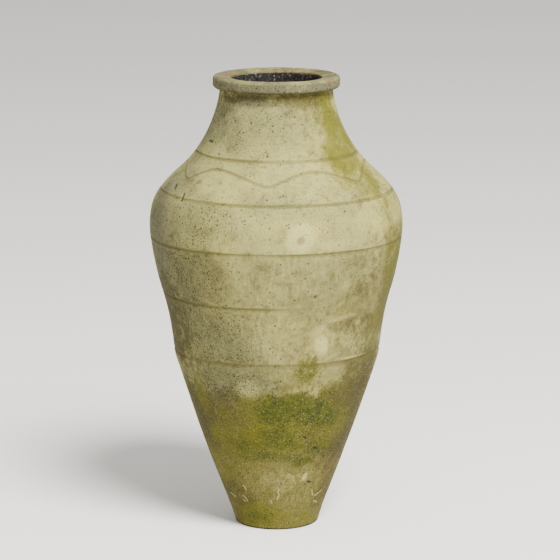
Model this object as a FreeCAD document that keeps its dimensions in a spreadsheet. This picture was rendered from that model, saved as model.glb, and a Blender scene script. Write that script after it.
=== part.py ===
import FreeCAD, Part
import os
import Sketcher
from FreeCAD import Vector

# A large handleless storage jar of coarse fired clay, 900 mm tall.
#
# It is built the way a potter builds a jar of this size: a thick slab for the base, then
# separately thrown wall sections, each luted on the one below with a keyed joint, then a
# heavy rolled rim, and a coat of pitch inside.  The origin is the middle of the foot, and
# +Z is up the jar's axis.  Sizes are in millimetres and slopes in degrees.

# ---------------------------------------------------------------- driving dimensions

# The outer outline is a chain of tangent arcs.  Each station gives a height and the lean
# of the wall there (positive where the jar widens upwards); the radii follow from them.
STATIONS = [
    ("ground", 0, 15),
    ("slab_top", 30, 18),
    ("foot_bend", 60, 21.5),
    ("foot_top", 154, 19.8),
    ("lower_body_bend", 332, 17.4),
    ("waist_low", 360, 6.6),
    ("waist_pinch", 405, 8.8),
    ("belly_low", 477, 17),
    ("belly_top", 585, 6.2),
    ("belly_turn", 640, -12),
    ("shoulder_low", 677, -39),
    ("shoulder_mid", 716, -49),
    ("neck_low", 751, -36.2),
    ("neck_top", 875, -6),
]

# The wall sections from the foot up: name, first station, last station.
SECTIONS = [
    ("foot_section", "slab_top", "foot_top"),
    ("lower_body_section", "foot_top", "waist_low"),
    ("waist_section", "waist_low", "belly_low"),
    ("belly_section", "belly_low", "belly_top"),
    ("upper_belly_section", "belly_top", "shoulder_low"),
    ("shoulder_section", "shoulder_low", "neck_low"),
    ("neck_section", "neck_low", "neck_top"),
]

# A ring is incised round the jar at each of these joints.
INCISED_RINGS = ["waist_low", "belly_low", "belly_top", "shoulder_low", "neck_low"]

# The section between these joints carries a wavy incised line.
WAVE_BAND = ("shoulder_low", "neck_low")

DIMENSIONS = {
    "jar_height": 900,
    "base_radius": 83,
    "foot_rounding": 3,
    "wall": 20,
    "joint_key": 5,
    "rim_radius": 124.6,
    "rim_lower_round": 8,
    "rim_upper_round": 8,
    "rim_dip": 4,
    "mouth_radius": 89,
    "mouth_round": 2,
    "pitch_coat": 2,
    "pitch_gap": 6.5,
    "incision_radius": 2.6,
    "incision_depth": 1.5,
    "wave_count": 6,
    "wave_crest_angle": 54,
    "wave_crest_radius": 171.5,
    "wave_trough_radius": 200.5,
    "wave_trough_bend": 76,
}

doc = FreeCAD.newDocument("storage_jar")
sheet = doc.addObject("Spreadsheet::Sheet", "dims")


def fill_sheet():
    """Put every driving dimension in the sheet, one to a row, under its own alias."""
    rows = dict(DIMENSIONS)
    for name, height, slope in STATIONS:
        rows[name + "_height"] = height
        rows[name + "_slope"] = slope
    for row, (alias, number) in enumerate(rows.items(), start=1):
        sheet.set(f"A{row}", alias)
        sheet.set(f"B{row}", str(number))
        sheet.setAlias(f"B{row}", alias)
    doc.recompute()


def value(expression):
    """The number that an expression over the sheet stands for."""
    return float(sheet.evalExpression(expression))


# ---------------------------------------------------------------- the outline's geometry


def make_outline_radii():
    """Work out the radius at each station: an arc's chord leans by the mean of its ends."""
    outline = doc.addObject("App::VarSet", "outline")
    outline.addProperty("App::PropertyFloat", "ground_radius", "Outline")
    outline.setExpression("ground_radius", "dims.base_radius")
    for (low, _, _), (high, _, _) in zip(STATIONS, STATIONS[1:]):
        rise = f"(dims.{high}_height - dims.{low}_height)"
        lean = f"(dims.{low}_slope + dims.{high}_slope) / 2 * 1deg"
        outline.addProperty("App::PropertyFloat", high + "_radius", "Outline")
        outline.setExpression(high + "_radius", f"outline.{low}_radius + {rise} * tan({lean})")
        doc.recompute()
    return outline


def bend_wave_crest(outline):
    """Work out the crests' bend, so that crest and trough arcs of the wave are tangent."""
    trough_centre = "(dims.wave_trough_radius - dims.wave_trough_bend)"
    crest = "dims.wave_crest_radius"
    bend = "dims.wave_trough_bend"
    reach = f"{trough_centre} * cos(180 / dims.wave_count * 1deg)"
    squares = f"({bend}^2 - {crest}^2 - {trough_centre}^2 + 2 * {crest} * {reach})"
    outline.addProperty("App::PropertyFloat", "wave_crest_bend", "Outline")
    outline.setExpression("wave_crest_bend", f"{squares} / (2 * ({crest} - {reach} - {bend}))")
    doc.recompute()


def wall_point(station, depth, along="0"):
    """A point square under the outer surface at a station, moved up along the wall."""
    angle = f"dims.{station}_slope * 1deg"
    radius = f"outline.{station}_radius - ({depth}) * cos({angle}) + ({along}) * sin({angle})"
    height = f"dims.{station}_height + ({depth}) * sin({angle}) + ({along}) * cos({angle})"
    return radius, height


def signed_bend(low, high):
    """Radius of the outer arc between two stations, positive where the jar bulges."""
    rise = f"(dims.{high}_height - dims.{low}_height)"
    turn = f"(sin(dims.{low}_slope * 1deg) - sin(dims.{high}_slope * 1deg))"
    return f"{rise} / {turn}"


def station_run(first, last):
    """Names of the stations from one to another, upwards."""
    names = [name for name, _, _ in STATIONS]
    return names[names.index(first):names.index(last) + 1]


# ---------------------------------------------------------------- drawing sketches


class Outline:
    """A closed outline in a sketch, whose corners and arcs are all bound to the sheet."""

    def __init__(self, body, name, plane="XZ_Plane"):
        self.sketch = body.newObject("Sketcher::SketchObject", name)
        origin_planes = body.Origin.OriginFeatures
        support = next(item for item in origin_planes if item.Role == plane)
        self.sketch.AttachmentSupport = [(support, "")]
        self.sketch.MapMode = "FlatFace"
        self.corners = []
        self.bends = []

    def corner(self, point, bend=None):
        """Go to a corner (two expressions); bend is the arc's signed radius on the way."""
        self.corners.append(point)
        self.bends.append(bend)

    def close(self, bend=None):
        """Draw the edges, join them end to start and bind every corner."""
        bends = self.bends[1:] + [bend]
        spots = [Vector(value(x), value(y), 0) for x, y in self.corners]
        ends = spots[1:] + spots[:1]
        edges = [self.add_edge(*edge) for edge in zip(spots, ends, bends)]
        for (edge, _, finish), (after, start, _) in zip(edges, edges[1:] + edges[:1]):
            self.sketch.addConstraint(Sketcher.Constraint("Coincident", edge, finish, after, start))
        for (edge, start, _), point in zip(edges, self.corners):
            self.pin(edge, start, point)
        return self.sketch

    def add_edge(self, start, end, bend):
        """Add a line or an arc; give its number and the ids of its two ends."""
        if bend is None:
            return self.sketch.addGeometry(Part.LineSegment(start, end)), 1, 2
        radius = value(bend)
        chord = end - start
        to_left = Vector(-chord.y, chord.x, 0).normalize()
        reach = (radius ** 2 - chord.Length ** 2 / 4) ** 0.5
        turns_left = radius > 0
        centre = (start + end) / 2 + to_left * (reach if turns_left else -reach)
        circle = Part.Circle(centre, Vector(0, 0, 1), abs(radius))
        first, second = (start, end) if turns_left else (end, start)
        arc = Part.ArcOfCircle(circle, circle.parameter(first), circle.parameter(second))
        number = self.sketch.addGeometry(arc)
        self.bind(Sketcher.Constraint("Radius", number, abs(radius)), f"abs({bend})")
        return (number, 1, 2) if turns_left else (number, 2, 1)

    def pin(self, edge, end, point):
        """Hold one end of an edge at a point given by two expressions."""
        for kind, axis, expression in (("DistanceX", -2, point[0]), ("DistanceY", -1, point[1])):
            if expression == "0":
                self.sketch.addConstraint(Sketcher.Constraint("PointOnObject", edge, end, axis))
            else:
                distance = Sketcher.Constraint(kind, -1, 1, edge, end, value(expression))
                self.bind(distance, expression)

    def bind(self, constraint, expression):
        """Add a constraint whose size follows an expression over the sheet."""
        number = self.sketch.addConstraint(constraint)
        self.sketch.setExpression(f"Constraints[{number}]", expression)


def joint_point(station, depth):
    """A point on the outer flank of a joint's ridge, at a depth under the outer surface."""
    return wall_point(station, depth, f"dims.joint_key * ({depth}) / (dims.wall / 2)")


def climb(outline, stations, depth):
    """Continue an outline up the wall at a depth under the outer surface."""
    for low, high in zip(stations, stations[1:]):
        outline.corner(wall_point(high, depth), f"{signed_bend(low, high)} - ({depth})")


def descend(outline, stations, depth):
    """Continue an outline down the wall at a depth under the outer surface."""
    for low, high in reversed(list(zip(stations, stations[1:]))):
        outline.corner(wall_point(low, depth), f"({depth}) - {signed_bend(low, high)}")


def joint_ridge(station):
    """The crest of the ridge on a joint's face, half way through the wall."""
    return wall_point(station, "dims.wall / 2", "dims.joint_key")


def revolve(body, sketch, name):
    """Turn an outline into a solid of revolution about the jar's axis."""
    solid = body.newObject("PartDesign::Revolution", name)
    solid.Profile = sketch
    solid.ReferenceAxis = (sketch, ["V_Axis"])
    solid.Angle = 360
    doc.recompute()
    return solid


def new_body(label):
    """An empty body that bears the piece's name."""
    body = doc.addObject("PartDesign::Body", label)
    body.Label = label
    return body


def check_cut(before, after, name):
    """Stop if a cutting feature took nothing away."""
    if not after < before - 1:
        raise RuntimeError(f"{name} cut nothing")


# ---------------------------------------------------------------- the pieces


def incise_ring(body, station):
    """Cut half of the incised ring that runs along the joint at a station."""
    before = body.Shape.Volume
    sketch = Outline(body, f"{station}_ring_outline").sketch
    centre = wall_point(station, "dims.incision_depth - dims.incision_radius")
    spot = Vector(value(centre[0]), value(centre[1]), 0)
    circle = Part.Circle(spot, Vector(0, 0, 1), value("dims.incision_radius"))
    number = sketch.addGeometry(circle)
    radius = sketch.addConstraint(Sketcher.Constraint("Radius", number, circle.Radius))
    across = sketch.addConstraint(Sketcher.Constraint("DistanceX", -1, 1, number, 3, spot.x))
    up = sketch.addConstraint(Sketcher.Constraint("DistanceY", -1, 1, number, 3, spot.y))
    sketch.setExpression(f"Constraints[{radius}]", "dims.incision_radius")
    sketch.setExpression(f"Constraints[{across}]", centre[0])
    sketch.setExpression(f"Constraints[{up}]", centre[1])
    groove = body.newObject("PartDesign::Groove", f"{station}_ring")
    groove.Profile = sketch
    groove.ReferenceAxis = (sketch, ["V_Axis"])
    groove.Angle = 360
    doc.recompute()
    check_cut(before, body.Shape.Volume, groove.Name)


def wave_point(centre, aim, distance):
    """The point at a distance from one bend's centre towards the next bend's centre."""
    share = f"({distance}) / (dims.wave_trough_bend + outline.wave_crest_bend)"
    return tuple(f"{near} + ({far} - ({near})) * {share}" for near, far in zip(centre, aim))


def polar(radius, angle):
    """A point in plan at a radius and an angle in degrees, as two expressions."""
    return f"({radius}) * cos(({angle}) * 1deg)", f"({radius}) * sin(({angle}) * 1deg)"


def draw_wave(body, name):
    """Plan of one wave of the incised line, trough to trough, as a band of tangent arcs."""
    half = "dims.incision_radius"
    bend = "dims.wave_trough_bend"
    crest_bend = "outline.wave_crest_bend"
    starts = "dims.wave_crest_angle - 180 / dims.wave_count"
    stops = "dims.wave_crest_angle + 180 / dims.wave_count"
    crest = polar(f"dims.wave_crest_radius + {crest_bend}", "dims.wave_crest_angle")
    trough = "dims.wave_trough_radius"
    before = polar(f"{trough} - {bend}", starts)
    after = polar(f"{trough} - {bend}", stops)
    outline = Outline(body, name, "XY_Plane")
    outline.corner(polar(f"{trough} - {half}", starts))
    outline.corner(wave_point(before, crest, f"{bend} - {half}"), f"{bend} - {half}")
    outline.corner(wave_point(after, crest, f"{bend} - {half}"), f"-({crest_bend} + {half})")
    outline.corner(polar(f"{trough} - {half}", stops), f"{bend} - {half}")
    outline.corner(polar(f"{trough} + {half}", stops))
    outline.corner(wave_point(after, crest, f"{bend} + {half}"), f"-({bend} + {half})")
    outline.corner(wave_point(before, crest, f"{bend} + {half}"), f"{crest_bend} - {half}")
    outline.corner(polar(f"{trough} + {half}", starts), f"-({bend} + {half})")
    return outline.close()


def incise_wave(body, first, last):
    """Cut the wave down through the wall, then fill it again up to the line's depth."""
    whole = body.Shape.Volume
    wave = body.newObject("PartDesign::Pocket", "wave_cut")
    wave.Profile = draw_wave(body, "wave_outline")
    wave.Type = "ThroughAll"
    wave.Reversed = True
    doc.recompute()
    check_cut(whole, body.Shape.Volume, wave.Name)
    round_jar = body.newObject("PartDesign::PolarPattern", "wave_round_jar")
    round_jar.Originals = [wave]
    round_jar.Axis = (wave.Profile[0], ["N_Axis"])
    round_jar.Angle = 360
    round_jar.setExpression("Occurrences", "dims.wave_count")
    body.Tip = round_jar
    doc.recompute()
    core = draw_wall(body, "wave_bed_outline", first, last, "dims.incision_depth")
    revolve(body, core, "wave_bed")
    check_cut(whole, body.Shape.Volume, round_jar.Name)


def draw_wall(body, name, first, last, depth="0"):
    """Outline of a section from a depth inwards: ridged on top, grooved underneath."""
    stations = station_run(first, last)
    outline = Outline(body, name)
    outline.corner(joint_point(first, depth))
    climb(outline, stations[:-1], depth)
    outline.corner(joint_point(last, depth), f"{signed_bend(*stations[-2:])} - ({depth})")
    outline.corner(joint_ridge(last))
    outline.corner(wall_point(last, "dims.wall"))
    descend(outline, stations, "dims.wall")
    outline.corner(joint_ridge(first))
    return outline.close()


def wall_section(label, first, last):
    """A wall section with its share of the incised rings along its joints."""
    body = new_body(label)
    revolve(body, draw_wall(body, label + "_outline", first, last), label + "_wall")
    if (first, last) == WAVE_BAND:
        incise_wave(body, first, last)
    for station in (first, last):
        if station in INCISED_RINGS:
            incise_ring(body, station)
    return body


def floor_corner(lift):
    """Where the inside of the wall meets the floor, lift above the slab."""
    radius, height = wall_point("slab_top", "dims.wall + dims.pitch_coat")
    return radius, f"{height} - dims.pitch_coat + ({lift})"


def base_slab():
    """The slab under the jar: the first bit of the wall's flare and a level floor."""
    body = new_body("base_slab")
    outline = Outline(body, "base_slab_outline")
    floor = floor_corner("0")
    outline.corner(("0", "0"))
    outline.corner(("dims.base_radius", "0"))
    climb(outline, ["ground", "slab_top"], "0")
    outline.corner(joint_ridge("slab_top"))
    outline.corner(wall_point("slab_top", "dims.wall"))
    outline.corner(floor)
    outline.corner(("0", floor[1]))
    slab = revolve(body, outline.close(), "base_slab_disc")
    before = body.Shape.Volume
    rounding = body.newObject("PartDesign::Fillet", "foot_edge")
    rounding.Base = (slab, [foot_edge_name(slab.Shape)])
    rounding.setExpression("Radius", "dims.foot_rounding")
    doc.recompute()
    check_cut(before, body.Shape.Volume, rounding.Name)
    return body


def foot_edge_name(shape):
    """The name of the circle that the slab stands on."""
    for number, edge in enumerate(shape.Edges, start=1):
        box = edge.BoundBox
        if box.ZMax < 0.001 and box.XLength > value("dims.base_radius"):
            return f"Edge{number}"
    raise RuntimeError("the slab has no bottom edge")


def rim_ring():
    """The heavy rolled rim, luted on the neck and overhanging it, with a dished top."""
    body = new_body("rim_ring")
    outline = Outline(body, "rim_ring_outline")
    neck = "dims.neck_top_height"
    rim = "dims.rim_radius"
    lower = "dims.rim_lower_round"
    upper = "dims.rim_upper_round"
    mouth = "dims.mouth_radius"
    lip = "dims.mouth_round"
    lip_top = "dims.jar_height - dims.rim_dip"
    outline.corner(wall_point("neck_top", "0"))
    outline.corner((f"{rim} - {lower}", neck))
    outline.corner((rim, f"{neck} + {lower}"), lower)
    outline.corner((rim, f"dims.jar_height - {upper}"))
    outline.corner((f"{rim} - {upper}", "dims.jar_height"), upper)
    outline.corner((f"{mouth} + {lip}", lip_top))
    outline.corner((mouth, f"{lip_top} - {lip}"), lip)
    outline.corner((mouth, "dims.jar_height - dims.pitch_gap"))
    outline.corner(wall_point("neck_top", "dims.wall"))
    outline.corner(joint_ridge("neck_top"))
    revolve(body, outline.close(), "rim_ring_roll")
    return body


def pitch_lining():
    """The coat of pitch over the floor and up the inside, ending just under the lip."""
    body = new_body("pitch_lining")
    outline = Outline(body, "pitch_lining_outline")
    stations = station_run("slab_top", "neck_top")
    floor = floor_corner("0")
    coat = floor_corner("dims.pitch_coat")
    edge_height = "dims.jar_height - dims.pitch_gap"
    outline.corner(("0", floor[1]))
    outline.corner(floor)
    outline.corner(wall_point("slab_top", "dims.wall"))
    climb(outline, stations, "dims.wall")
    outline.corner(("dims.mouth_radius", edge_height))
    outline.corner(("dims.mouth_radius - dims.pitch_coat", edge_height))
    outline.corner(wall_point("neck_top", "dims.wall + dims.pitch_coat"))
    descend(outline, stations, "dims.wall + dims.pitch_coat")
    outline.corner(("0", coat[1]))
    revolve(body, outline.close(), "pitch_lining_coat")
    return body


def export(pieces):
    """Write each piece to parts/NAME.step once the whole document is sound."""
    for item in doc.Objects:
        if "Invalid" in item.State or "Error" in item.State:
            raise RuntimeError(f"{item.Name} failed: {item.State}")
    for piece in pieces:
        if piece.Shape.isNull() or not piece.Shape.isValid():
            raise RuntimeError(f"{piece.Label} has a bad shape")
        if len(piece.Shape.Solids) != 1:
            raise RuntimeError(f"{piece.Label} is not one solid")
    os.makedirs("parts", exist_ok=True)
    for piece in pieces:
        piece.Shape.exportStep(f"parts/{piece.Label}.step")
        print(f"{piece.Label}: {piece.Shape.Volume / 1000:.1f} cm3")


fill_sheet()
bend_wave_crest(make_outline_radii())
jar = [base_slab()]
for section in SECTIONS:
    jar.append(wall_section(*section))
jar.append(rim_ring())
jar.append(pitch_lining())
doc.recompute()
export(jar)
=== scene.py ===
import math

import bpy
import numpy as np
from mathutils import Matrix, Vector


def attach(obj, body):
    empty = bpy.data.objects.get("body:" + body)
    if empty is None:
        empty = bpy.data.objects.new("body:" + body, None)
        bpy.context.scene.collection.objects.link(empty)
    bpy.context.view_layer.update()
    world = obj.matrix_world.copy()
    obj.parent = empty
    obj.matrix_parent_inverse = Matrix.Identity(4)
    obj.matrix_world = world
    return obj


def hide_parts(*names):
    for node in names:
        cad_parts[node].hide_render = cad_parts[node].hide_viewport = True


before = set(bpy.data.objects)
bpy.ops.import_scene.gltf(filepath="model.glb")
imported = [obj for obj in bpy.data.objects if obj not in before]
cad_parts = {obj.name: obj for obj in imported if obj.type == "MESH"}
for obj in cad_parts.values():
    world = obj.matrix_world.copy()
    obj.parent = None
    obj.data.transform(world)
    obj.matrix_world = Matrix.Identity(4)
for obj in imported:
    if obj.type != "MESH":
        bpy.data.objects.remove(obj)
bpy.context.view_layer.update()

# The jar is built from the same chain of arcs as its CAD sections.  All its outer surface is one
# grid of points, so that grooves, lumps and pits run on over the joints; each clay section then
# takes its own rows of that grid.  Metres; azimuth in degrees from the front (-Y) towards +X.

# ---------------------------------------------------------------- sizes

# Height in metres and lean of the wall in degrees at each station of the outline.
STATIONS = [
    (0.000, 15),
    (0.030, 18),
    (0.060, 21.5),
    (0.154, 19.8),
    (0.332, 17.4),
    (0.360, 6.6),
    (0.405, 8.8),
    (0.477, 17),
    (0.585, 6.2),
    (0.640, -12),
    (0.677, -39),
    (0.716, -49),
    (0.751, -36.2),
    (0.875, -6),
]
BASE_RADIUS = 0.083
HEIGHT = 0.900
WALL = 0.020
COAT = 0.002
JOINT_KEY = 0.005
COLUMNS = 720

# Clay sections between joints: node, lowest height, highest height.
SECTIONS = [
    ("foot_section", 0.030, 0.154),
    ("lower_body_section", 0.154, 0.360),
    ("waist_section", 0.360, 0.477),
    ("belly_section", 0.477, 0.585),
    ("upper_belly_section", 0.585, 0.677),
    ("shoulder_section", 0.677, 0.751),
    ("neck_section", 0.751, 0.875),
]

SLAB_TOP = 0.030
NECK_TOP = 0.875
RIM_RADIUS = 0.1246
RIM_LOWER_ROUND = 0.008
RIM_UPPER_ROUND = 0.008
RIM_DIP = 0.004
MOUTH_RADIUS = 0.089
MOUTH_ROUND = 0.002
COAT_TOP = 0.8935
FOOT_ROUNDING = 0.003
TIDE_LINE = 0.154
# The coat is brushed where it can be seen, down to this height, and thins to its edge.
BRUSHED_DOWN_TO = 0.750
COAT_EDGE = 0.0006

# Heights of the incised rings, and the size of every incised line.
WORN_RING = 0.477
WIDE_RING = 0.360
RINGS = [0.751, 0.677, 0.585, WORN_RING, WIDE_RING]
LINE_HALF_WIDTH = 0.0032
LINE_DEPTH = 0.0014
# Azimuths where the hand-drawn wave turns: a trough first, then crests and troughs in turn.
WAVE_TURNS = [-61, -41, -5, 24, 53, 84, 114, 144, 174, 205, 235, 266, 299]
WAVE_MIDDLE = 0.7208
WAVE_RISE = 0.0138
WAVE_TROUGH_ROUND = 0.16

# ---------------------------------------------------------------- smooth random fields

LATTICE = 48


def noise(points, cell, seed):
    """Smooth random values from -1 to 1, with a new value about every cell metres."""
    table = np.random.RandomState(seed).uniform(-1, 1, (LATTICE, LATTICE, LATTICE))
    scaled = points / cell
    corner = np.floor(scaled).astype(int)
    part = scaled - corner
    part = part * part * (3 - 2 * part)
    total = np.zeros(points.shape[:-1])
    for step in np.ndindex(2, 2, 2):
        index = np.moveaxis((corner + step) % LATTICE, -1, 0)
        weight = np.prod(np.where(step, part, 1 - part), axis=-1)
        total += weight * table[tuple(index)]
    return total


def layered(points, cell, seed, layers=3):
    """Noise with finer and weaker layers added to it."""
    total = np.zeros(points.shape[:-1])
    for layer in range(layers):
        total += noise(points, cell / 2 ** layer, seed + layer) / 2 ** layer
    return total / 1.5


def smooth_step(value, low, high):
    """Rise smoothly from 0 at low to 1 at high; low may be the larger."""
    share = np.clip((value - low) / (high - low), 0, 1)
    return share * share * (3 - 2 * share)


# ---------------------------------------------------------------- the outline


def station_radii():
    """Radius at each station: the chord of an arc leans by the mean of its two ends."""
    radii = [BASE_RADIUS]
    for (low, first), (high, second) in zip(STATIONS, STATIONS[1:]):
        radii.append(radii[-1] + (high - low) * math.tan(math.radians((first + second) / 2)))
    return radii


def outline(height):
    """Radius and lean (in radians) of the outer surface at heights on the chain of arcs."""
    heights = np.array([station[0] for station in STATIONS])
    sines = np.sin(np.radians([station[1] for station in STATIONS]))
    span = np.clip(np.searchsorted(heights, height, side="right") - 1, 0, len(heights) - 2)
    low, high = heights[span], heights[span + 1]
    first, second = sines[span], sines[span + 1]
    sine = first + (second - first) * (height - low) / (high - low)
    bend = (second - first) / (high - low)
    radius = np.array(station_radii())[span]
    radius = radius + (np.sqrt(1 - first ** 2) - np.sqrt(1 - sine ** 2)) / bend
    return radius, np.arcsin(sine)


def levels(low, high, coarse=0.0026, fine=0.0010):
    """Heights of the grid's rows between two joints, closer together along incised lines."""
    samples = np.linspace(low, high, 2000)
    gap = np.min([abs(samples - ring) for ring in RINGS], axis=0)
    gap = np.minimum(gap, np.maximum(abs(samples - WAVE_MIDDLE) - WAVE_RISE, 0))
    lean = outline(samples)[1]
    density = np.where(gap < 2.4 * LINE_HALF_WIDTH, 1 / fine, 1 / coarse) / np.cos(lean)
    count = np.concatenate([[0], np.cumsum((density[1:] + density[:-1]) / 2 * np.diff(samples))])
    return np.interp(np.linspace(0, count[-1], int(math.ceil(count[-1])) + 1), count, samples)


class Surface:
    """A grid of points on the jar: rows of heights, columns of azimuths from the front."""

    def __init__(self, radius, height, normal_r, normal_z):
        self.azimuth = np.arange(COLUMNS) * 360 / COLUMNS - 180
        turn = np.radians(self.azimuth)
        self.around = np.stack([np.sin(turn), -np.cos(turn)], axis=-1)
        self.radius = np.repeat(radius[:, None], COLUMNS, axis=1)
        self.height = np.repeat(height[:, None], COLUMNS, axis=1)
        self.normal_r = normal_r[:, None]
        self.normal_z = normal_z[:, None]
        self.azimuths = np.repeat(self.azimuth[None, :], len(radius), axis=0)
        self.lift = np.zeros_like(self.radius)
        self.masks = {}
        steps = np.hypot(np.diff(radius), np.diff(height))
        self.along = np.concatenate([[0], np.cumsum(steps)])[:, None]
        self.wander = [layered(self.points(), 0.055, seed) for seed in (101, 111)]

    def points(self, depth=0.0):
        """Positions of the grid, moved out by the lift and in by a depth."""
        out = self.lift - depth
        radius = self.radius + self.normal_r * out
        height = self.height + self.normal_z * out
        flat = radius[..., None] * self.around
        return np.concatenate([flat, height[..., None]], axis=-1)

    def across(self, azimuth):
        """Distance round the jar from an azimuth, in metres."""
        turn = (self.azimuths - azimuth + 180) % 360 - 180
        return np.radians(turn) * self.radius

    def up(self, height):
        """Distance up the wall from a height, in metres."""
        return self.along - np.interp(height, self.height[:, 0], self.along[:, 0])

    def add(self, mask, amount):
        """Raise a mask to an amount wherever it is lower."""
        self.masks[mask] = np.maximum(self.masks.get(mask, 0 * self.radius), amount)


# ---------------------------------------------------------------- marks on the surface


def patch(surface, mask, azimuth, height, half_width, half_height, strength=1.0, tilt=0.0):
    """A stain with a soft, wandering edge: half sizes in metres, tilt in degrees."""
    across = surface.across(azimuth)
    up = surface.up(height)
    turn = math.radians(tilt)
    along = (across * math.cos(turn) + up * math.sin(turn)) / half_width
    beside = (up * math.cos(turn) - across * math.sin(turn)) / half_height
    far = np.hypot(along + 0.45 * surface.wander[0], beside + 0.45 * surface.wander[1])
    surface.add(mask, strength * smooth_step(far, 1.5, 0.3))


def stroke(surface, mask, route, half_width, depth=0.0, strength=1.0):
    """A drawn mark through (azimuth, height) points; a depth cuts it into the clay."""
    nearest = np.full_like(surface.radius, 1.0)
    for (azimuth, height), (next_azimuth, next_height) in zip(route, route[1:]):
        across = surface.across(azimuth)
        up = surface.up(height)
        middle = np.interp((height + next_height) / 2, surface.height[:, 0], surface.radius[:, 0])
        run = math.radians(next_azimuth - azimuth) * middle
        rise = float(np.interp(next_height, surface.height[:, 0], surface.along[:, 0])
                     - np.interp(height, surface.height[:, 0], surface.along[:, 0]))
        share = np.clip((across * run + up * rise) / (run ** 2 + rise ** 2), 0, 1)
        nearest = np.minimum(nearest, np.hypot(across - share * run, up - share * rise))
    amount = smooth_step(nearest, half_width, half_width * 0.3)
    surface.add(mask, strength * amount)
    surface.lift -= depth * amount


def incise(surface, offset, depth, half_width):
    """Cut a round-bottomed line whose middle is offset metres away, with a low burr beside it."""
    share = abs(offset) / half_width
    hollow = np.clip(1 - share ** 2, 0, 1)
    burr = np.exp(-((share - 1.35) / 0.35) ** 2)
    surface.lift += depth * (0.14 * burr - hollow)
    reach = np.clip(depth / LINE_DEPTH, 0, 1)
    surface.add("line", smooth_step(share, 1.7, 0.7) * reach)


def incise_rings(surface):
    """The five hand-drawn rings, each a little wavy, and worn away in places."""
    points = surface.points()
    for number, ring in enumerate(RINGS):
        level = points * [1, 1, 0] + [0, 0, ring]
        wander = 0.0011 * noise(level, 0.09, 20 + number)
        depth = LINE_DEPTH * (0.85 + 0.25 * noise(level, 0.05, 30 + number))
        width = LINE_HALF_WIDTH * (1 + 0.16 * noise(level, 0.03, 40 + number))
        if ring == WORN_RING:
            worn = smooth_step(surface.azimuths, -6, 14) * smooth_step(surface.azimuths, 150, 95)
            depth = depth * (1 - 0.93 * worn)
        if ring == WIDE_RING:
            width = width * 1.35
        incise(surface, surface.up(ring) - wander, depth, width)


def incise_wave(surface):
    """The wavy line round the shoulder: wide round crests and tighter troughs."""
    start = WAVE_TURNS[0]
    turned = start + (surface.azimuths - start) % 360
    phase = np.interp(turned, WAVE_TURNS, math.pi * np.arange(-1, len(WAVE_TURNS) - 1))
    rise = 2 * np.sqrt(np.cos(phase / 2) ** 2 + WAVE_TROUGH_ROUND ** 2) - 1 - WAVE_TROUGH_ROUND
    level = surface.points() * [1, 1, 0] + [0, 0, WAVE_MIDDLE]
    height = WAVE_MIDDLE + WAVE_RISE * rise + 0.0012 * noise(level, 0.08, 50)
    along = np.interp(height, surface.height[:, 0], surface.along[:, 0])
    step = np.gradient(along, axis=1) / (math.radians(360 / COLUMNS) * surface.radius)
    offset = (surface.along - along) / np.sqrt(1 + step ** 2)
    depth = LINE_DEPTH * (0.8 + 0.25 * noise(level, 0.06, 51))
    incise(surface, offset, depth, LINE_HALF_WIDTH * 0.92)


def roughen(surface):
    """Hand-made unevenness: slow lumps, throwing ridges and a gritty, eroded skin."""
    points = surface.points()
    surface.lift += 0.0011 * noise(points, 0.16, 1)
    surface.lift += 0.0004 * noise(points, 0.05, 2)
    squashed = points * [0.12, 0.12, 1]
    surface.lift += 0.00022 * layered(squashed, 0.011, 3, 2)
    surface.lift += 0.00016 * layered(points, 0.010, 6, 2)


def pit(surface, azimuth, height, radius, depth, mask=None, flat=0.2):
    """A hollow with a steep side; flat is the share of its width that is level."""
    rows = np.nonzero(abs(surface.height[:, 0] - height) < 2 * radius)[0]
    if len(rows) == 0:
        return
    rows = slice(rows[0], rows[-1] + 1)
    far = np.hypot(surface.across(azimuth)[rows], surface.up(height)[rows]) / radius
    amount = smooth_step(far, 1.15, flat)
    surface.lift[rows] -= depth * amount
    if mask:
        surface.masks.setdefault(mask, 0 * surface.radius)
        surface.masks[mask][rows] = np.maximum(surface.masks[mask][rows], amount)


def scatter_pits(surface, count, seed):
    """Small pits left by burnt-out grit, more of them low down."""
    random = np.random.RandomState(seed)
    for _ in range(count):
        azimuth = random.uniform(-180, 180)
        height = 0.015 + 0.85 * random.uniform() ** 1.2
        radius = random.uniform(0.0012, 0.0030)
        pit(surface, azimuth, height, radius, radius * random.uniform(0.25, 0.5), "pitted")


def scatter_stains(surface, mask, count, seed, size, heights, azimuths=(95, 265), strength=0.8):
    """Stains of one kind at random places, by default round the back."""
    random = np.random.RandomState(seed)
    for _ in range(count):
        patch(surface, mask, random.uniform(*azimuths), random.uniform(*heights),
              size * random.uniform(0.5, 1.2), size * random.uniform(0.5, 1.6),
              strength * random.uniform(0.5, 1.0), random.uniform(-30, 30))


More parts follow.
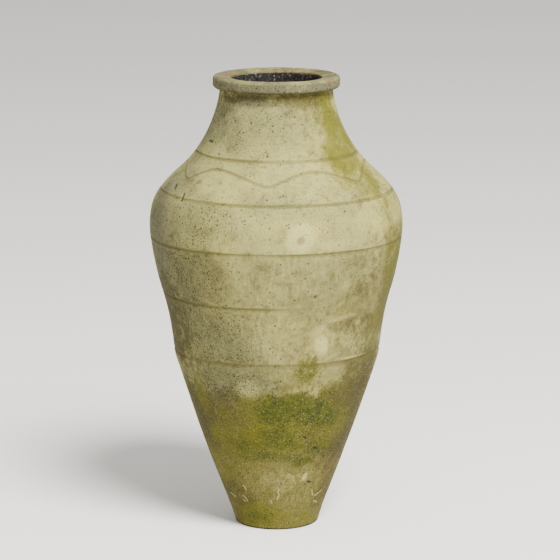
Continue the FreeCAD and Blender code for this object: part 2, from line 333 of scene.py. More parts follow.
# The stains in view, by kind: azimuth in degrees, height, half width and half height in metres,
# strength and, where a stain is turned, its tilt in degrees.
STAINS = {
    "algae": [
        (60, 0.815, 0.034, 0.085, 1.0),
        (74, 0.790, 0.060, 0.080, 0.8),
        (54, 0.758, 0.055, 0.050, 0.95),
        (58, 0.710, 0.085, 0.050, 0.72),
        (70, 0.655, 0.085, 0.050, 0.55),
        (40, 0.810, 0.055, 0.080, 0.36),
        # This band just under the rim is partly painted shadow of the rim's overhang.
        (48, 0.862, 0.085, 0.014, 0.25),
        (76, 0.540, 0.085, 0.110, 0.62),
        (36, 0.472, 0.022, 0.030, 0.35),
        (74, 0.420, 0.080, 0.090, 0.5),
        (0, 0.235, 0.100, 0.075, 0.95),
        (-32, 0.190, 0.090, 0.042, 0.8),
        (34, 0.235, 0.080, 0.080, 0.7),
        (16, 0.340, 0.050, 0.050, 0.50),
        (-20, 0.030, 0.070, 0.030, 0.85),
        (30, 0.022, 0.060, 0.020, 0.45),
    ],
    "moss": [
        (2, 0.268, 0.058, 0.038, 0.95),
        (27, 0.258, 0.056, 0.034, 1.15),
        (0, 0.208, 0.045, 0.040, 0.68),
        (15, 0.285, 0.036, 0.024, 0.9),
        (18, 0.345, 0.026, 0.044, 0.55),
        (-26, 0.186, 0.055, 0.030, 0.52),
        (-12, 0.168, 0.070, 0.014, 0.60),
        (8, 0.160, 0.030, 0.009, 0.55),
        (21, 0.152, 0.026, 0.012, 1.0),
        (33, 0.180, 0.030, 0.020, 0.6),
        (-22, 0.026, 0.050, 0.020, 0.45),
    ],
    # An olive film, and painted shade on the right of the belly and in the band under the rim.
    "film_and_painted_shade": [
        (66, 0.470, 0.140, 0.150, 1.0),
        (40, 0.835, 0.070, 0.050, 0.5),
        # This band just under the rim is partly painted shadow of the rim's overhang.
        (10, 0.862, 0.150, 0.020, 0.8),
    ],
    # Dust, and painted shade: a greyer, darker tone on the left side, away from the key light.
    "dust_and_painted_shade": [
        (-62, 0.820, 0.070, 0.070, 0.6),
        # This band just under the rim is partly painted shadow of the rim's overhang.
        (-35, 0.858, 0.090, 0.016, 0.7),
        (-68, 0.620, 0.070, 0.140, 0.8),
        (-74, 0.420, 0.070, 0.120, 0.5),
    ],
    # Soot, and painted shade: the left side, turned away from the key light, is painted darker.
    "soot_and_painted_shade": [
        (-70, 0.800, 0.060, 0.090, 0.6),
        (-36, 0.640, 0.095, 0.045, 0.9),
        (-48, 0.520, 0.090, 0.120, 1.0),
        (-34, 0.400, 0.090, 0.110, 0.9),
        (-26, 0.325, 0.090, 0.040, 0.85),
        (-75, 0.560, 0.060, 0.090, 0.7),
        (-18, 0.800, 0.070, 0.060, 0.45),
        (5, 0.670, 0.130, 0.030, 0.35),
        (22, 0.215, 0.060, 0.050, 0.6),
    ],
    # Grime, and painted shade: the lower body, whose wall leans out to face downwards, is painted
    # darker.
    "grime_and_painted_shade": [
        (-64, 0.230, 0.100, 0.110, 1.0),
        (-72, 0.430, 0.080, 0.120, 0.9),
        (60, 0.300, 0.080, 0.090, 1.0),
        (56, 0.190, 0.080, 0.070, 1.0),
        (30, 0.210, 0.060, 0.060, 0.7),
        (-26, 0.230, 0.060, 0.070, 0.6),
        (-50, 0.070, 0.060, 0.080, 0.75),
        (62, 0.080, 0.050, 0.060, 0.5),
        (72, 0.480, 0.060, 0.130, 0.75),
        (50, 0.425, 0.060, 0.045, 0.65),
        (50, 0.530, 0.050, 0.060, 0.45),
        (46, 0.285, 0.070, 0.035, 0.80),
        (-42, 0.215, 0.070, 0.080, 0.50),
        # These three bands just under the rim are partly painted shadow of the rim's overhang.
        (0, 0.866, 0.200, 0.010, 0.55),
        (-60, 0.866, 0.100, 0.014, 0.6),
        (40, 0.864, 0.120, 0.018, 0.8),
    ],
    "rust": [
        (62, 0.325, 0.040, 0.050, 0.8),
        (66, 0.220, 0.040, 0.060, 0.5),
        (56, 0.135, 0.034, 0.070, 0.8),
        (-72, 0.270, 0.040, 0.060, 0.6),
        (-70, 0.090, 0.040, 0.060, 0.45),
        (16, 0.640, 0.080, 0.140, 0.22),
    ],
    "lime": [
        (11, 0.615, 0.031, 0.028, 1.35),
        (74, 0.636, 0.040, 0.026, 0.8),
        (30, 0.606, 0.070, 0.014, 0.5),
        (-20, 0.650, 0.130, 0.026, 0.45),
        (24, 0.402, 0.018, 0.026, 0.9),
        (36, 0.332, 0.032, 0.026, 0.34),
        (23, 0.434, 0.024, 0.010, 0.6, 50),
        (36, 0.453, 0.040, 0.007, 0.5, 5),
        (8, 0.112, 0.046, 0.034, 0.38),
        (-16, 0.308, 0.030, 0.030, 0.6),
        (46, 0.367, 0.055, 0.004, 0.55),
        (27, 0.118, 0.006, 0.012, 1.0, -20),
    ],
    "streaks": [
        (-10, 0.470, 0.065, 0.130, 1.0),
        (10, 0.560, 0.080, 0.080, 0.6),
        (-15, 0.690, 0.140, 0.060, 0.6),
        (10, 0.100, 0.080, 0.060, 0.6),
    ],
}


def lay_stains(surface):
    """The stains in view, each kind in its own mask; the soot, dust, grime and film kinds also hold
    painted shade.
    """
    for mask, spots in STAINS.items():
        for spot in spots:
            patch(surface, mask, *spot)


def scatter_all_stains(surface):
    """More stains at random places round the back, and some algae on the left."""
    scatter_stains(surface, "algae", 6, 11, 0.075, (0.10, 0.40))
    scatter_stains(surface, "algae", 5, 19, 0.065, (0.45, 0.86), strength=0.5)
    scatter_stains(surface, "algae", 5, 12, 0.06, (0.12, 0.32), (-100, -50))
    scatter_stains(surface, "moss", 11, 13, 0.045, (0.15, 0.33))
    scatter_stains(surface, "soot_and_painted_shade", 8, 14, 0.09, (0.30, 0.80), strength=0.7)
    scatter_stains(surface, "grime_and_painted_shade", 7, 15, 0.10, (0.05, 0.50))
    scatter_stains(surface, "rust", 5, 16, 0.05, (0.10, 0.40))
    scatter_stains(surface, "lime", 14, 17, 0.035, (0.10, 0.70))
    scatter_stains(surface, "streaks", 8, 18, 0.06, (0.35, 0.70))


def dampen(surface):
    """The lower body stays damp, an olive film with painted shade reaches up the belly, and the
    foot's bottom edge has a painted contact shadow.
    """
    damp = surface.height + 0.030 * layered(surface.points(), 0.09, 61)
    surface.add("damp", smooth_step(damp, 0.350, 0.270))
    film_and_painted_shade = surface.height + 0.35 * (damp - surface.height)
    # The film also holds painted shade: the belly is painted darker than the shoulder, which faces up
    # to the light.
    surface.add("film_and_painted_shade", 0.62 * smooth_step(film_and_painted_shade, 0.606, 0.568))
    # Painted contact shadow along the foot's bottom edge, where it stands on the floor.
    surface.add("crack_and_contact_shadow", 0.9 * smooth_step(surface.height, 0.0045, 0.0015))


def scratch_and_chip(surface):
    """Knocks: pale scratches near the foot, dark cuts on the shoulder, a flake and a hole."""
    pit(surface, 11, 0.614, 0.0095, 0.0012, flat=0.5)
    patch(surface, "pink", 11, 0.614, 0.009, 0.008, 0.9)
    pit(surface, 18.6, 0.501, 0.0046, 0.0028, "hole")
    pit(surface, 27, 0.117, 0.0085, 0.0012, flat=0.4)
    patch(surface, "pink", 0, 0.108, 0.022, 0.026, 0.4)
    pale = [
        [(-34.5, 0.095), (-33, 0.091), (-32.5, 0.084)],
        [(-38, 0.071), (-35, 0.066), (-34, 0.060)],
        [(-40, 0.062), (-37, 0.058)],
        [(-58, 0.069), (-53, 0.064), (-50, 0.066)],
        [(2, 0.090), (2.5, 0.078), (1, 0.068)],
        [(-6, 0.066), (-5, 0.060)],
        [(39, 0.084), (41, 0.076), (42, 0.072)],
        [(45, 0.069), (51, 0.071), (56, 0.076)],
        [(47, 0.056), (52, 0.053), (55, 0.050)],
    ]
    for route in pale:
        stroke(surface, "lime", route, 0.0021, depth=0.0005)
    dark = [
        [(-67, 0.7785), (-63, 0.7775), (-61, 0.778)],
        [(-66.5, 0.697), (-65, 0.693), (-64, 0.688)],
        [(-53.6, 0.687), (-52.8, 0.682), (-52, 0.674)],
        [(30, 0.181), (32, 0.179)],
        [(31, 0.105), (34, 0.103)],
        [(20, 0.207), (22, 0.204)],
    ]
    for route in dark:
        stroke(surface, "crack_and_contact_shadow", route, 0.0028, depth=0.0012, strength=1.4)
    scrape = [(-51, 0.515), (-36, 0.516), (-19, 0.512)]
    stroke(surface, "crack_and_contact_shadow", scrape, 0.0014, depth=0.0004, strength=0.45)


def lower_tide_line(surface):
    """Below the tide line the jar stood buried or under water, and its clay is cleaner."""
    level = surface.points() * [1, 1, 0]
    tide = TIDE_LINE + 0.003 * layered(level, 0.03, 60)
    surface.add("below", smooth_step(surface.height, tide + 0.003, tide - 0.003))


# ---------------------------------------------------------------- meshes

# Faces that meet at more than this many degrees have a sharp edge.
SHARP_ANGLE = 55


def ring_faces(rows, columns):
    """Quads between neighbouring rows of points that run right round the jar."""
    row, column = np.meshgrid(np.arange(rows - 1), np.arange(columns), indexing="ij")
    after = (column + 1) % columns
    quad = [row * columns + column, row * columns + after,
            (row + 1) * columns + after, (row + 1) * columns + column]
    return np.stack(quad, axis=-1).reshape(-1, 4)


def build_piece(node, rows, material, closed, masks=None, masked_from=0):
    """Make one closed mesh from rows of points that go round the jar, and stand it for a node.

    A closed section joins its last row to its first; otherwise both ends are capped on the axis.
    The masks cover the rows from masked_from on.
    """
    grid = np.stack(rows)
    count, columns = grid.shape[:2]
    points = grid.reshape(-1, 3)
    quads = ring_faces(count, columns)
    triangles = np.zeros((0, 3), int)
    column = np.arange(columns)
    after = (column + 1) % columns
    last = (count - 1) * columns
    if closed:
        seam = np.stack([last + column, last + after, after, column], axis=-1)
        quads = np.concatenate([quads, seam])
    else:
        bottom, top = len(points), len(points) + 1
        low = np.stack([after, column, np.full(columns, bottom)], axis=-1)
        high = np.stack([last + column, last + after, np.full(columns, top)], axis=-1)
        triangles = np.concatenate([low, high])
        points = np.concatenate([points, [[0, 0, grid[0, 0, 2]], [0, 0, grid[-1, 0, 2]]]])
    mesh = bpy.data.meshes.new(node + "_skin")
    mesh.from_pydata(points.tolist(), [], quads.tolist() + triangles.tolist())
    mesh.polygons.foreach_set("use_smooth", np.ones(len(mesh.polygons), bool))
    mesh.set_sharp_from_angle(angle=math.radians(SHARP_ANGLE))
    for name, values in (masks or {}).items():
        attribute = mesh.attributes.new(name, "FLOAT", "POINT")
        full = np.zeros(len(points))
        full[masked_from * columns:masked_from * columns + values.size] = values.ravel()
        attribute.data.foreach_set("value", full)
    mesh.validate()
    mesh.materials.append(material)
    piece = bpy.data.objects.new(node + "_skin", mesh)
    bpy.context.scene.collection.objects.link(piece)
    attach(piece, "root")
    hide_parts(node)


def around(radius, height, columns=COLUMNS):
    """A level row of points; radius and height may vary with the column."""
    turn = np.radians(np.arange(columns) * 360 / columns - 180)
    radius = np.broadcast_to(radius, columns)
    height = np.broadcast_to(height, columns)
    return np.stack([radius * np.sin(turn), -radius * np.cos(turn), height], axis=-1)


def wall_spot(height, depth, along=0.0):
    """Radius and height of a point under the outer surface, moved up along the wall."""
    radius, lean = outline(np.array([height]))
    radius, lean = float(radius[0]), float(lean[0])
    return (radius - depth * math.cos(lean) + along * math.sin(lean),
            height + depth * math.sin(lean) + along * math.cos(lean))


def joint_ridge(height):
    """The crest of the ridge on a joint face, a ring half way through the wall."""
    return around(*wall_spot(height, WALL / 2, JOINT_KEY))


def inner_rows(low, high, depth, step=0.012, columns=COLUMNS):
    """Rows on a surface inside the wall, from one height to another, either way."""
    count = max(2, int(abs(high - low) / step) + 1)
    return [around(*wall_spot(height, depth), columns) for height in np.linspace(low, high, count)]


# ---------------------------------------------------------------- the pieces


def outer_surface():
    """The whole outer wall from the ground to the rim, marked and weathered, and its joints' rows."""
    joints = [SLAB_TOP] + [high for _, _, high in SECTIONS]
    heights = [np.concatenate([np.linspace(0, FOOT_ROUNDING, 6)[:-1],
                               levels(FOOT_ROUNDING, SLAB_TOP)])]
    for low, high in zip(joints, joints[1:]):
        heights.append(levels(low, high)[1:])
    ends = np.cumsum([len(part) for part in heights]) - 1
    height = np.concatenate(heights)
    radius, lean = outline(height)
    short = np.clip(FOOT_ROUNDING - height, 0, None)
    radius = radius - (FOOT_ROUNDING - np.sqrt(FOOT_ROUNDING ** 2 - short ** 2))
    surface = Surface(radius, height, np.cos(lean), -np.sin(lean))
    roughen(surface)
    incise_rings(surface)
    incise_wave(surface)
    scatter_pits(surface, count=700, seed=70)
    lay_stains(surface)
    scatter_all_stains(surface)
    dampen(surface)
    scratch_and_chip(surface)
    lower_tide_line(surface)
    return surface, dict(zip(joints, ends.tolist()))


def clay_section(node, low, high, surface, joints, clay):
    """One wall section: weathered outside, plain inside, keyed to its neighbours."""
    rows = slice(joints[low], joints[high] + 1)
    outside = list(surface.points()[rows])
    inside = inner_rows(high, low, WALL)
    loop = outside + [joint_ridge(high)] + inside + [joint_ridge(low)]
    masks = {name: values[rows] for name, values in surface.masks.items()}
    build_piece(node, loop, clay, closed=True, masks=masks)


def floor_corner():
    """Radius and height where the slab's level floor meets the inside of the wall."""
    radius, height = wall_spot(SLAB_TOP, WALL + COAT)
    return radius, height - COAT


def base_slab(surface, joints, clay):
    """The slab: a flat foot with a worn edge, the start of the wall and a level floor."""
    rows = slice(0, joints[SLAB_TOP] + 1)
    outside = surface.points()[rows]
    outside[..., 2] = np.maximum(outside[..., 2], 0)
    floor_radius, floor = floor_corner()
    under = [around(share * BASE_RADIUS, 0) for share in (0.2, 0.5, 0.75, 0.9)]
    inside = [around(*wall_spot(SLAB_TOP, WALL)), around(floor_radius, floor)]
    inside += [around(share * floor_radius, floor) for share in (0.7, 0.3)]
    loop = under + list(outside) + [joint_ridge(SLAB_TOP)] + inside
    masks = {name: values[rows] for name, values in surface.masks.items()}
    build_piece("base_slab", loop, clay, closed=False, masks=masks, masked_from=len(under))


def arc(centre_r, centre_z, radius, first, last, count):
    """Points on an arc of the rim's section, angles in degrees from straight out."""
    turn = np.radians(np.linspace(first, last, count))
    return np.stack([centre_r + radius * np.cos(turn), centre_z + radius * np.sin(turn)], axis=-1)


def rim_section():
    """The rim's section from under its overhang, over the top and down the bore."""
    crown = RIM_RADIUS - RIM_UPPER_ROUND
    lip_r = MOUTH_RADIUS + MOUTH_ROUND
    lip_z = HEIGHT - RIM_DIP - MOUTH_ROUND
    neck = outline(np.array([NECK_TOP]))[0][0]
    level = NECK_TOP + RIM_LOWER_ROUND
    under = np.stack([np.linspace(neck - 0.002, RIM_RADIUS - RIM_LOWER_ROUND, 6)[:-1],
                      np.full(5, NECK_TOP)], axis=-1)
    shoulder = HEIGHT - RIM_UPPER_ROUND
    lower = arc(RIM_RADIUS - RIM_LOWER_ROUND, level, RIM_LOWER_ROUND, -90, 0, 12)[:-1]
    face = np.linspace([RIM_RADIUS, level], [RIM_RADIUS, shoulder], 8)[:-1]
    upper = arc(crown, shoulder, RIM_UPPER_ROUND, 0, 90, 14)[:-1]
    top = np.linspace([crown, HEIGHT], [lip_r, HEIGHT - RIM_DIP], 20)[:-1]
    lip = arc(lip_r, lip_z, MOUTH_ROUND, 90, 180, 7)[:-1]
    bore = np.linspace([MOUTH_RADIUS, lip_z], [MOUTH_RADIUS, COAT_TOP], 4)[:-1]
    inner = np.linspace([MOUTH_RADIUS, COAT_TOP], wall_spot(NECK_TOP, WALL), 5)
    return np.concatenate([under, lower, face, upper, top, lip, bore, inner])


def near(surface, azimuth, radius, height):
    """Distance from each point of a surface to a spot, in metres."""
    turn = math.radians(azimuth)
    spot = np.array([radius * math.sin(turn), -radius * math.cos(turn), height])
    return np.linalg.norm(surface.points() - spot, axis=-1)


# How many chips the rim's edge has, and the azimuths of the fine cracks down its face.
RIM_CHIPS = 34
RIM_CRACKS = [-22, 13, 17, 88, 150, -120]

# Stains on top of the rim, round one radius and height: azimuth, size in metres, mask and strength.
RIM_STAIN_SPOT = (0.105, 0.898)
RIM_STAINS = [
    (-62, 0.050, "rust", 0.6),
    (-110, 0.060, "pink", 0.6),
    (165, 0.060, "rust", 0.6),
    (140, 0.045, "pink", 0.5),
    (60, 0.050, "pink", 0.5),
    (85, 0.030, "soot_and_painted_shade", 0.9),
    (-120, 0.050, "soot_and_painted_shade", 0.6),
    (20, 0.050, "lime", 0.5),
    (-30, 0.040, "lime", 0.5),
    (120, 0.050, "grime_and_painted_shade", 0.6),
]


def rim_ring(clay):
    """The rolled rim: uneven, chipped along its edge, with a dark joint line and painted shade under
    its overhang.
    """
    section = rim_section()
    tangent = np.gradient(section, axis=0)
    tangent /= np.linalg.norm(tangent, axis=1)[:, None]
    surface = Surface(section[:, 0], section[:, 1], tangent[:, 1], -tangent[:, 0])
    roughen(surface)
    hold = np.ones(len(section))
    hold[:3] = 0
    hold[-4:] = 0
    surface.lift *= hold[:, None]
    outward = surface.radius > RIM_RADIUS - RIM_LOWER_ROUND
    low = outward * (surface.height < HEIGHT - 0.006)
    surface.add("film_and_painted_shade", 0.5)
    surface.add("dust_and_painted_shade", 0.65 + 0.25 * low)
    surface.add("soot_and_painted_shade", 0.45 * low)
    # A dark joint line, and painted shade on the underside of the overhang.
    surface.add("grime_and_painted_shade", 0.95 * smooth_step(surface.height, NECK_TOP + 0.006, NECK_TOP + 0.001))
    random = np.random.RandomState(80)
    for _ in range(RIM_CHIPS):
        far = near(surface, random.uniform(-180, 180), RIM_RADIUS - random.uniform(0, 0.012),
                   random.uniform(0.882, 0.899))
        size = random.uniform(0.002, 0.006)
        amount = smooth_step(far, size, 0.3 * size)
        surface.lift -= 0.35 * size * amount * hold[:, None]
        surface.add("pink", 0.6 * amount)
    for number, azimuth in enumerate(RIM_CRACKS):
        bent = 0.0024 * noise(surface.points() * [0, 0, 1], 0.006, 120 + number)
        gap = abs(surface.across(azimuth) - bent)
        amount = smooth_step(gap, 0.0016, 0.0003) * low
        surface.lift -= 0.0005 * amount
        surface.add("crack_and_contact_shadow", 0.6 * amount)
    for azimuth, size, mask, strength in RIM_STAINS:
        far = near(surface, azimuth, *RIM_STAIN_SPOT)
        surface.add(mask, strength * smooth_step(far, size, 0.2 * size))
    rows = list(surface.points()) + [joint_ridge(NECK_TOP)]
    build_piece("rim_ring", rows, clay, closed=True, masks=surface.masks)


def pitch_lining(pitch):
    """The black coat inside: brushed on, with runs, and a ragged edge under the lip."""
    columns = COLUMNS // 2
    floor_radius, floor = floor_corner()
    edge = around(MOUTH_RADIUS, COAT_TOP, columns)
    ragged = 0.5 + 0.5 * layered(edge, 0.016, 90)
    share_top = 1 - 0.15 * ragged
    neck_r, neck_z = wall_spot(NECK_TOP, WALL)

    def bore_row(share, inset):
        """A row at a share of the way from the neck to the coat's top, moved in by an inset."""
        share = share * share_top
        radius = neck_r + (MOUTH_RADIUS - neck_r) * share
        return around(radius - inset, neck_z + (COAT_TOP - neck_z) * share, columns)

    def brushed(row):
        """Roughen a row a little, as a brushed coat is."""
        out = row * [1, 1, 0] / np.linalg.norm(row[:, :2], axis=1)[:, None]
        rough = 0.0005 * layered(row * [1, 1, 0.3], 0.012, 91) + 0.0003 * noise(row, 0.004, 94)
        return row + out * rough[:, None]

    rows = [around(share * floor_radius, floor, columns) for share in (0.3, 0.7, 1.0)]
    rows += inner_rows(SLAB_TOP, NECK_TOP, WALL, columns=columns)
    rows += [bore_row(1, 0)]
    for share in np.linspace(1, 0, 9):
        taper = COAT_EDGE + (COAT - COAT_EDGE) * (1 - share) ** 0.5
        rows.append(brushed(bore_row(share, taper)))
    rows += [brushed(row) for row in
             inner_rows(NECK_TOP - 0.003, BRUSHED_DOWN_TO, WALL + COAT, 0.003, columns)]
    rows += inner_rows(BRUSHED_DOWN_TO - 0.005, SLAB_TOP, WALL + COAT, columns=columns)
    rows += [around(share * floor_radius, floor + COAT, columns) for share in (0.9, 0.4)]
    build_piece("pitch_lining", rows, pitch, closed=False)


# ---------------------------------------------------------------- materials


# The studio's light on the front of the jar, and how hard the picture's soft shoulder holds back
# bright colours: both are undone when a clay colour is given by how it should look.
LIGHT_ON_CLAY = 3.3
SHOULDER = 1.39
BLUE_HELD_BACK = 0.80


def srgb(red, green, blue):
    """A linear colour from the usual 0 to 255 numbers."""
    def linear(level):
        """One level from 0 to 255, in linear light."""
        level = level / 255
        return level / 12.92 if level <= 0.04045 else ((level + 0.055) / 1.055) ** 2.4
    return (linear(red), linear(green), linear(blue), 1.0)


def as_lit(red, green, blue):
    """The clay's own colour, for one that looks like these numbers in this studio's light."""
    own = []
    for seen, share in zip(srgb(red, green, blue), (1, 1, BLUE_HELD_BACK)):
        own.append(share * seen / (1 - SHOULDER * seen ** 2) / LIGHT_ON_CLAY)
    return (*own, 1.0)


class Shader:
    """A node material, built by calls that each add one node and give its output."""

    def __init__(self, name):
        self.material = bpy.data.materials.new(name)
        self.material.use_nodes = True
        self.tree = self.material.node_tree
        self.surface = self.tree.nodes["Principled BSDF"]
        self.place = self.node("ShaderNodeTexCoord").outputs["Object"]

    def node(self, kind, **inputs):
        """Add a node; inputs are given by socket name, as values or as other outputs."""
        made = self.tree.nodes.new(kind)
        for name, value in inputs.items():
            self.feed(made.inputs[name.replace("_", " ")], value)
        return made

    def feed(self, socket, value):
        """Link an output to a socket, or set the socket to a value."""
        if isinstance(value, bpy.types.NodeSocket):
            self.tree.links.new(value, socket)
        else:
            socket.default_value = value

    def mask(self, name):
        """One of the masks stored on the mesh."""
        made = self.node("ShaderNodeAttribute")
        made.attribute_name = name
        return made.outputs["Fac"]

    def stretched(self, stretch, shift=0.0):
        """The position, scaled along each axis and moved."""
        return self.node("ShaderNodeMapping", Vector=self.place, Scale=stretch,
                         Location=(shift, shift, shift)).outputs["Vector"]

    def noise(self, scale, detail=3.0, roughness=0.55, stretch=(1, 1, 1), shift=0.0):
        """Layered noise over the position, stretched along the axes."""
        made = self.node("ShaderNodeTexNoise", Vector=self.stretched(stretch, shift), Scale=scale,
                         Detail=detail, Roughness=roughness)
        return made.outputs["Fac"]

    def specks(self, scale, share, size, shift=0.0):
        """Ragged dots, one in a share of the cells: size is the widest radius, in cells."""
        bend = self.node("ShaderNodeTexNoise", Vector=self.place, Scale=2.2 * scale, Detail=2.0)
        bent = self.node("ShaderNodeVectorMath")
        bent.operation = "MULTIPLY_ADD"
        self.feed(bent.inputs[0], bend.outputs["Color"])
        self.feed(bent.inputs[1], (0.9 / scale,) * 3)
        self.feed(bent.inputs[2], self.stretched((1, 1, 1), shift))
        cell = self.node("ShaderNodeTexVoronoi", Vector=bent.outputs[0], Scale=scale)
        chance = self.node("ShaderNodeSeparateColor", Color=cell.outputs["Color"])
        held = self.math("LESS_THAN", chance.outputs["Red"], share)
        reach = self.ramp(chance.outputs["Green"], 0.0, 1.0, 0.45 * size, size)
        far = self.math("DIVIDE", cell.outputs["Distance"], reach)
        return self.math("MULTIPLY", held, self.ramp(far, 1.0, 0.55))

    def math(self, operation, first, second=0.0):
        """One arithmetic step."""
        made = self.tree.nodes.new("ShaderNodeMath")
        made.operation = operation
        self.feed(made.inputs[0], first)
        self.feed(made.inputs[1], second)
        return made.outputs[0]

    def ramp(self, value, low, high, bottom=0.0, top=1.0):
        """Turn low..high into bottom..top, smoothly and no further."""
        made = self.tree.nodes.new("ShaderNodeMapRange")
        made.interpolation_type = "SMOOTHSTEP"
        for name, amount in (("Value", value), ("From Min", low), ("From Max", high),
                             ("To Min", bottom), ("To Max", top)):
            self.feed(made.inputs[name], amount)
        return made.outputs["Result"]

    def mix(self, share, first, second, blend="MIX"):
        """Blend a share of the second colour over the first."""
        made = self.tree.nodes.new("ShaderNodeMix")
        made.data_type = "RGBA"
        made.blend_type = blend
        self.feed(made.inputs["Factor"], share)
        self.feed(made.inputs[6], first)
        self.feed(made.inputs[7], second)
        return made.outputs[2]

    def finish(self, colour, roughness, height, relief):
        """Plug in the colour, the roughness and a relief of a height field, in metres."""
        bump = self.node("ShaderNodeBump", Strength=1.0, Distance=relief, Height=height)
        self.feed(self.surface.inputs["Base Color"], colour)
        self.feed(self.surface.inputs["Roughness"], roughness)
        self.feed(self.surface.inputs["Normal"], bump.outputs["Normal"])
        self.surface.inputs["Specular IOR Level"].default_value = 0.25
        return self.material


def clay_material():
    """Coarse fired clay, with every stain and growth, and the painted shade, laid over it in turn."""
    shader = Shader("weathered_clay")
    broad = shader.noise(6, 4)
    patchy = shader.noise(22, 5, 0.62, shift=3.1)
    mottled = shader.noise(75, 5, 0.66, shift=7.7)
    fine = shader.noise(210, 4, 0.72, shift=1.3)
    grain = shader.noise(650, 3, 0.7, shift=5.9)
    dark_grit = shader.noise(330, 2, 0.7, shift=9.3)
    pale_grit = shader.noise(380, 2, 0.7, shift=12.7)
    runs = shader.noise(150, 3, 0.6, (1, 1, 0.035), 2.2)
    wide_runs = shader.noise(38, 4, 0.6, (1, 1, 0.10), 6.2)

    def times(first, second):
        """One value multiplied by another."""
        return shader.math("MULTIPLY", first, second)

    def plus(first, second):
        """Two values added."""
        return shader.math("ADD", first, second)

    def ragged(name, coarse, small, low, high):
        """A mask whose edge is broken up by wide, coarse and small noise."""
        coarse = times(shader.math("SUBTRACT", mottled, 0.5), coarse)
        small = times(shader.math("SUBTRACT", fine, 0.5), small)
        wide = times(shader.math("SUBTRACT", patchy, 0.5), 0.8)
        total = plus(plus(shader.mask(name), plus(coarse, small)), wide)
        return shader.ramp(total, low, high)

    def lay(colour, share, amount, over):
        """Lay a colour over another, by an amount of a share."""
        return shader.mix(times(share, amount), colour, over)

    soot_and_painted_shade = shader.mask("soot_and_painted_shade")
    damp = ragged("damp", 1.0, 0.5, 0.2, 0.9)
    colour = shader.mix(shader.ramp(broad, 0.35, 0.65), as_lit(203, 200, 158), as_lit(190, 188, 150))
    colour = lay(colour, shader.ramp(patchy, 0.44, 0.70), 0.50, as_lit(176, 166, 122))
    colour = lay(colour, shader.ramp(wide_runs, 0.52, 0.72), 0.35, as_lit(166, 163, 126))
    colour = lay(colour, shader.ramp(mottled, 0.52, 0.72), 0.5, as_lit(154, 147, 106))
    colour = lay(colour, shader.ramp(runs, 0.55, 0.72), 0.25, as_lit(205, 203, 170))
    colour = lay(colour, shader.ramp(fine, 0.56, 0.72), 0.45, as_lit(138, 126, 88))
    colour = lay(colour, shader.ramp(fine, 0.44, 0.30), 0.30, as_lit(208, 206, 172))
    # An olive film, and painted shade on the belly and under the rim.
    colour = lay(colour, ragged("film_and_painted_shade", 0.9, 0.6, 0.10, 0.95), 0.75, as_lit(148, 139, 92))
    colour = lay(colour, damp, 0.72, as_lit(114, 105, 26))
    colour = lay(colour, times(shader.mask("below"), damp), 0.62, as_lit(162, 152, 80))
    streaks = times(shader.mask("streaks"), shader.ramp(runs, 0.42, 0.66))
    colour = lay(colour, streaks, 0.36, as_lit(202, 202, 174))
    # Soot, and painted shade on the left side, turned away from the key light.
    colour = lay(colour, soot_and_painted_shade, 0.52, as_lit(112, 113, 96))
    # Dust over the rim, and painted shade: a greyer tone on the left side, away from the key light.
    colour = lay(colour, ragged("dust_and_painted_shade", 0.9, 0.8, 0.05, 0.95), 0.80, as_lit(136, 133, 118))
    colour = lay(colour, ragged("rust", 1.0, 0.6, 0.25, 0.95), 0.6, as_lit(128, 98, 52))
    # Grime, and painted shade on the lower body and in the band under the rim.
    colour = lay(colour, ragged("grime_and_painted_shade", 1.1, 0.6, 0.10, 0.95), 0.78, as_lit(92, 82, 20))
    colour = lay(colour, ragged("lime", 1.2, 0.9, 0.22, 0.90), 0.72, as_lit(208, 206, 176))
    colour = lay(colour, ragged("pink", 0.7, 0.6, 0.25, 0.85), 0.6, as_lit(172, 138, 108))
    colour = lay(colour, ragged("algae", 0.8, 0.6, 0.05, 1.0), 0.90, as_lit(146, 143, 4))
    moss = ragged("moss", 1.4, 1.3, 0.16, 0.85)
    green = shader.mix(shader.ramp(mottled, 0.38, 0.62), as_lit(72, 88, 0), as_lit(120, 124, 0))
    colour = lay(colour, moss, 0.90, green)

    rough_skin = plus(times(soot_and_painted_shade, 0.50), times(damp, 0.45))
    dark_share = times(shader.ramp(dark_grit, 0.50, 0.66), plus(rough_skin, 0.22))
    colour = shader.mix(dark_share, colour, (0.30, 0.29, 0.24, 1), "MULTIPLY")
    colour = lay(colour, shader.ramp(pale_grit, 0.54, 0.68), times(plus(rough_skin, 0.30), 0.42),
                 as_lit(196, 193, 148))
    crowd = plus(times(soot_and_painted_shade, shader.ramp(mottled, 0.30, 0.56)), times(damp, 0.15))
    large = shader.specks(190, plus(times(crowd, 0.95), 0.05), 0.46, 1.1)
    small = shader.specks(340, plus(crowd, 0.14), 0.46, 4.4)
    pale = shader.specks(260, 0.10, 0.36, 8.8)
    colour = lay(colour, large, 0.82, as_lit(52, 50, 34))
    colour = lay(colour, small, 0.72, as_lit(66, 62, 42))
    colour = lay(colour, pale, 0.45, as_lit(207, 204, 172))
    line = shader.mask("line")
    colour = lay(colour, times(line, shader.ramp(fine, 0.2, 0.5, 0.6, 1.0)), 0.60,
                 as_lit(128, 118, 62))
    # Dark cracks and cuts, and the painted contact shadow along the foot's bottom edge.
    colour = lay(colour, ragged("crack_and_contact_shadow", 0.2, 0.8, 0.25, 0.7), 0.85, as_lit(58, 54, 42))
    colour = lay(colour, shader.mask("hole"), 0.8, as_lit(104, 84, 48))
    colour = lay(colour, shader.mask("pitted"), 0.5, as_lit(116, 104, 72))

    roughness = shader.ramp(fine, 0.3, 0.7, 0.95, 0.84)
    height = plus(times(grain, 0.30), times(fine, 0.55))
    height = plus(height, times(large, -0.35))
    height = plus(height, times(times(moss, mottled), 0.9))
    return shader.finish(colour, roughness, height, 0.0011)


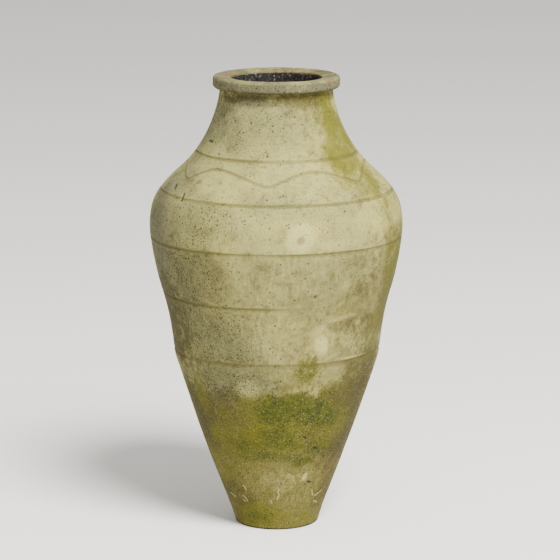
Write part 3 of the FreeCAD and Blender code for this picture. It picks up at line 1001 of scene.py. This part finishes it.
def pitch_material():
    """Old brushed pitch: near black, lumpy, with pale dust and grit caught in it."""
    shader = Shader("old_pitch")
    lumps = shader.noise(130, 5, 0.65)
    fine = shader.noise(420, 3, 0.7, shift=3.0)
    grit = shader.specks(300, shader.ramp(lumps, 0.40, 0.65, 0.15, 0.8), 0.42, 2.0)
    colour = shader.mix(shader.ramp(lumps, 0.35, 0.7), srgb(18, 17, 18), srgb(46, 44, 42))
    colour = shader.mix(shader.math("MULTIPLY", grit, 0.8), colour, srgb(150, 146, 130))
    height = shader.math("ADD", lumps, shader.math("MULTIPLY", fine, 0.4))
    return shader.finish(colour, shader.ramp(lumps, 0.3, 0.7, 0.5, 0.85), height, 0.0022)


def plain_material(name, colour, roughness):
    """A material of one even colour."""
    material = bpy.data.materials.new(name)
    material.use_nodes = True
    surface = material.node_tree.nodes["Principled BSDF"]
    surface.inputs["Base Color"].default_value = colour
    surface.inputs["Roughness"].default_value = roughness
    return material


# ---------------------------------------------------------------- floor, lights and camera

EYE_DISTANCE = 5.300
EYE_HEIGHT = 1.560
EYE_PITCH = 11.411
LENS = 175.28
AXIS_LEFT_OF_CENTRE = 0.0071
FLOOR_SIZE = 60


def floor():
    """A wide pale floor at the foot of the jar."""
    half = FLOOR_SIZE / 2
    mesh = bpy.data.meshes.new("floor")
    mesh.from_pydata([(-half, -half, 0), (half, -half, 0), (half, half, 0), (-half, half, 0)],
                     [], [(0, 1, 2, 3)])
    mesh.materials.append(plain_material("pale_floor", srgb(243, 242, 238), 0.9))
    stand = bpy.data.objects.new("floor", mesh)
    bpy.context.scene.collection.objects.link(stand)


def area_light(name, place, target, size, power, colour):
    """A round soft light at a place, aimed at a target."""
    light = bpy.data.lights.new(name, "AREA")
    light.shape = "DISK"
    light.size = size
    light.energy = power
    light.color = colour
    lamp = bpy.data.objects.new(name, light)
    lamp.location = place
    aim = np.array(target) - np.array(place)
    lamp.rotation_euler = Vector(aim).to_track_quat("-Z", "Y").to_euler()
    bpy.context.scene.collection.objects.link(lamp)


def studio():
    """A pale even room light and a broad soft key, high in front and a little to the right."""
    world = bpy.data.worlds.new("room")
    world.use_nodes = True
    room = world.node_tree.nodes["Background"]
    room.inputs["Color"].default_value = (1.0, 0.99, 0.97, 1)
    room.inputs["Strength"].default_value = 0.80
    bpy.context.scene.world = world
    middle = (0, 0, 0.5)
    area_light("key", (2.2, -3.9, 6.0), middle, 3.0, 1500, (1.0, 0.985, 0.95))


def camera():
    """The camera, at the photograph's viewing angle."""
    lens = bpy.data.cameras.new("camera")
    lens.lens = LENS
    eye = bpy.data.objects.new("camera", lens)
    eye.location = (AXIS_LEFT_OF_CENTRE, -EYE_DISTANCE, EYE_HEIGHT)
    eye.rotation_euler = (math.radians(90 - EYE_PITCH), 0, 0)
    bpy.context.scene.collection.objects.link(eye)
    bpy.context.scene.camera = eye


def jar():
    """Every piece of the jar."""
    clay = clay_material()
    surface, joints = outer_surface()
    base_slab(surface, joints, clay)
    for node, low, high in SECTIONS:
        clay_section(node, low, high, surface, joints, clay)
    rim_ring(clay)
    pitch_lining(pitch_material())


camera()
floor()
studio()
jar()

bpy.context.view_layer.update()
